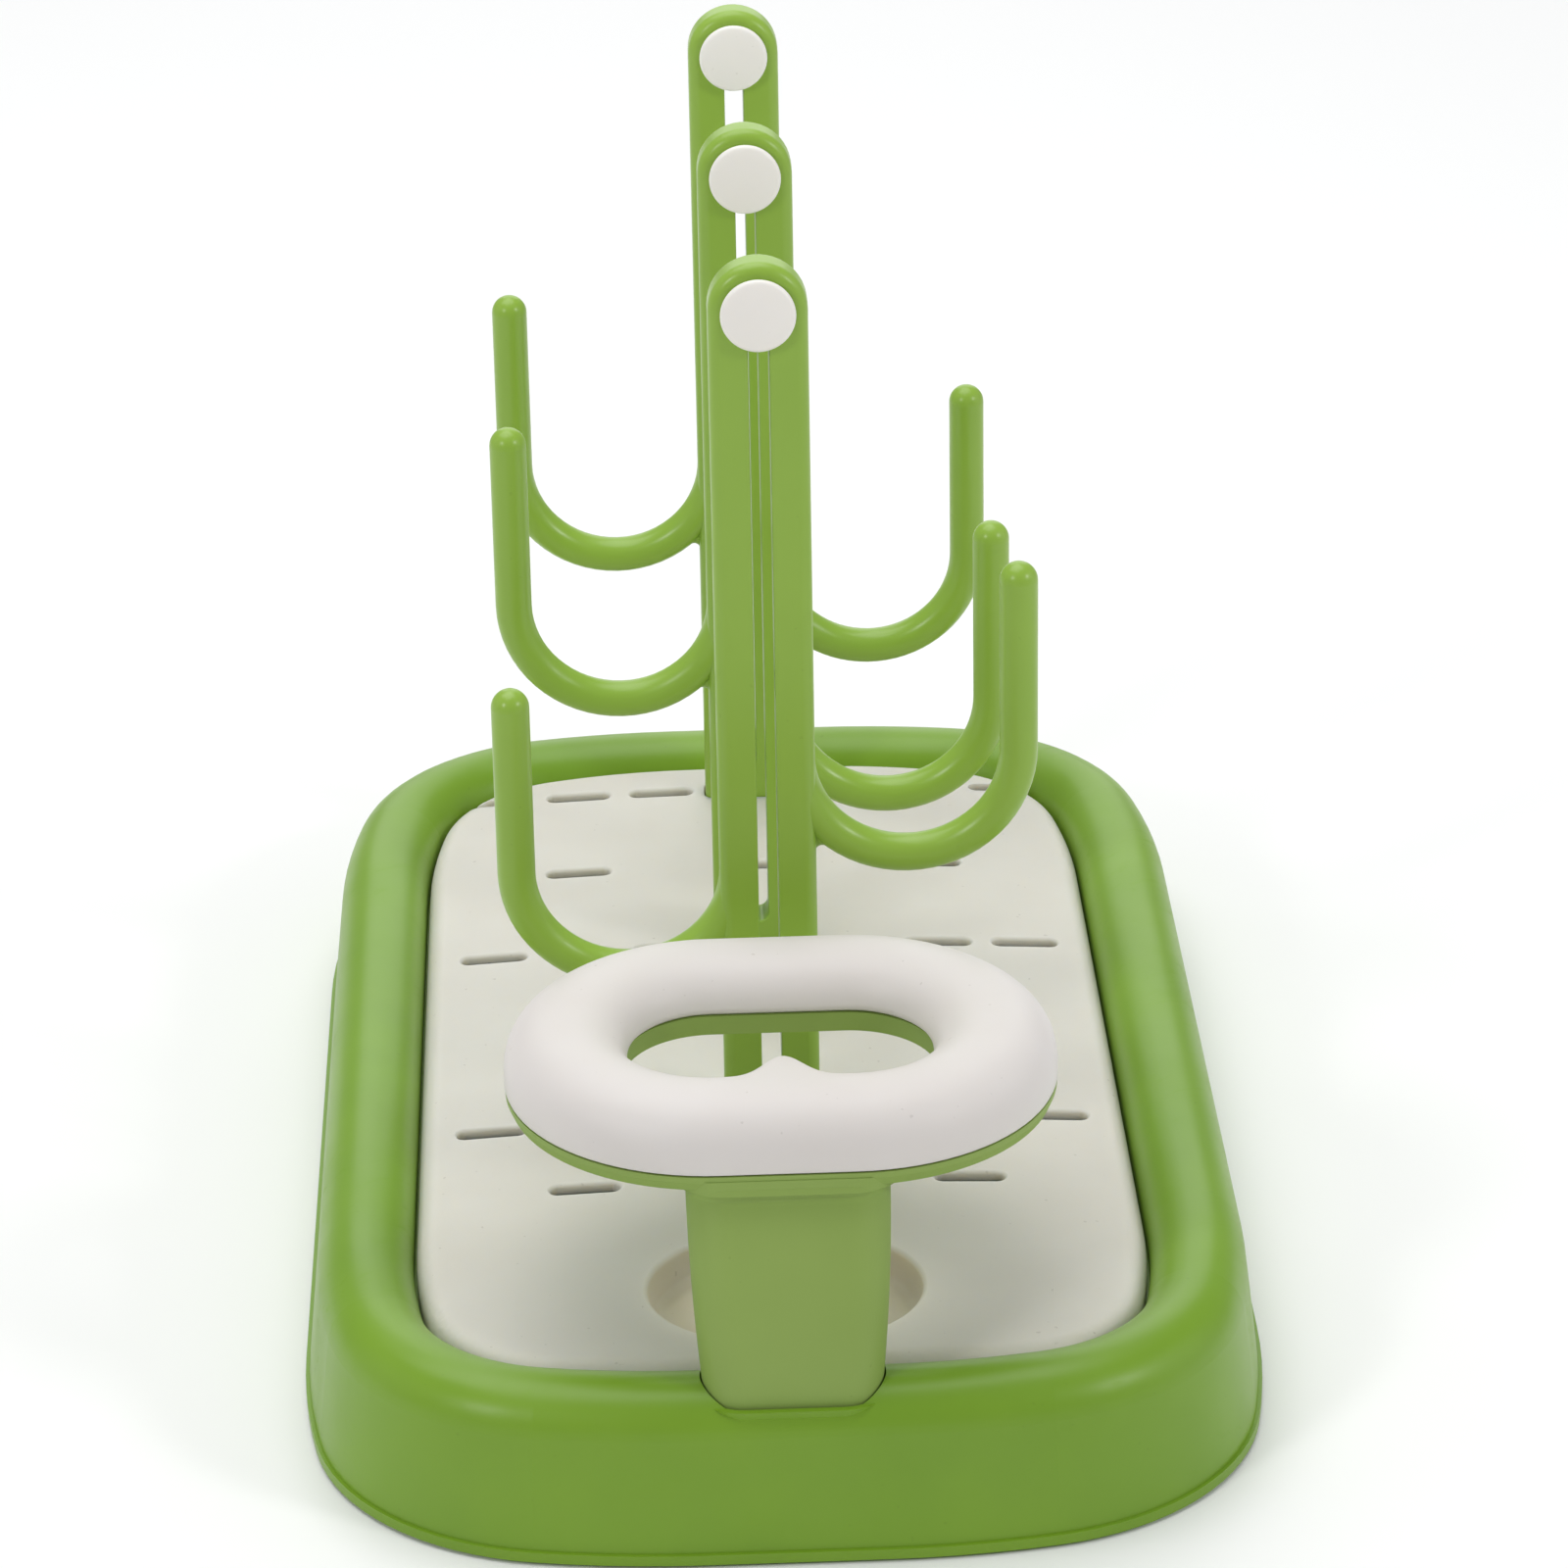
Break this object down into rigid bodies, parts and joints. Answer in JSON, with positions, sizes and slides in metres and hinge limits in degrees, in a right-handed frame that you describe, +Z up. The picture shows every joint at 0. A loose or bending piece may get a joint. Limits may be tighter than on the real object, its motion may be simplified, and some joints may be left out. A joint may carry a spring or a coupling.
{
  "type": "baby bottle drying rack",
  "caption": "Drip tray with a crowned drain plate, a row of slotted posts with upturned hook arms, and a front stand with an oval ring holder.",
  "frame": {"origin": "on the ground plane, at the middle of the tray's outline", "axes": "+Z up, Y along the tray's long side with the ring stand at -Y, X across the tray"},
  "size_m": [0.2156, 0.3594, 0.246],
  "materials": {
    "green_base": "satin moulded plastic",
    "green_post": "satin moulded plastic",
    "green_stand": "fine matt moulded plastic",
    "ivory_plate": "satin moulded plastic",
    "white_knob": "satin moulded plastic",
    "white_cover": "soft matt moulded plastic",
    "rubber_foot": "moulded rubber"
  },
  "bodies": {
    "base": {"tray": "green_base", "foot_front_left": "rubber_foot", "foot_front_right": "rubber_foot", "foot_rear_left": "rubber_foot", "foot_rear_right": "rubber_foot"},
    "plate": {"drain_plate": "ivory_plate"},
    "front_post": {"post_front": "green_post", "knob_front_face": "white_knob", "knob_front_back": "white_knob"},
    "middle_post": {"post_middle": "green_post", "knob_middle_face": "white_knob", "knob_middle_back": "white_knob"},
    "rear_post": {"post_rear": "green_post", "knob_rear_face": "white_knob", "knob_rear_back": "white_knob"},
    "ring_stand": {"stand": "green_stand"},
    "cover": {"ring_cover": "white_cover"}
  },
  "joints": [
    {"name": "plate_lift", "type": "slide", "parent": "base", "child": "plate", "axis": [0, 0, 1], "range_m": [0, 0.015]},
    {"name": "front_post_lift", "type": "slide", "parent": "plate", "child": "front_post", "axis": [0, 0, 1], "range_m": [0, 0.024]},
    {"name": "middle_post_lift", "type": "slide", "parent": "plate", "child": "middle_post", "axis": [0, 0, 1], "range_m": [0, 0.024]},
    {"name": "rear_post_lift", "type": "slide", "parent": "plate", "child": "rear_post", "axis": [0, 0, 1], "range_m": [0, 0.024]},
    {"name": "stand_lift", "type": "slide", "parent": "base", "child": "ring_stand", "axis": [0, 0, 1], "range_m": [0, 0.03]},
    {"name": "cover_lift", "type": "slide", "parent": "ring_stand", "child": "cover", "axis": [0, 0, 1], "range_m": [0, 0.012]}
  ]
}
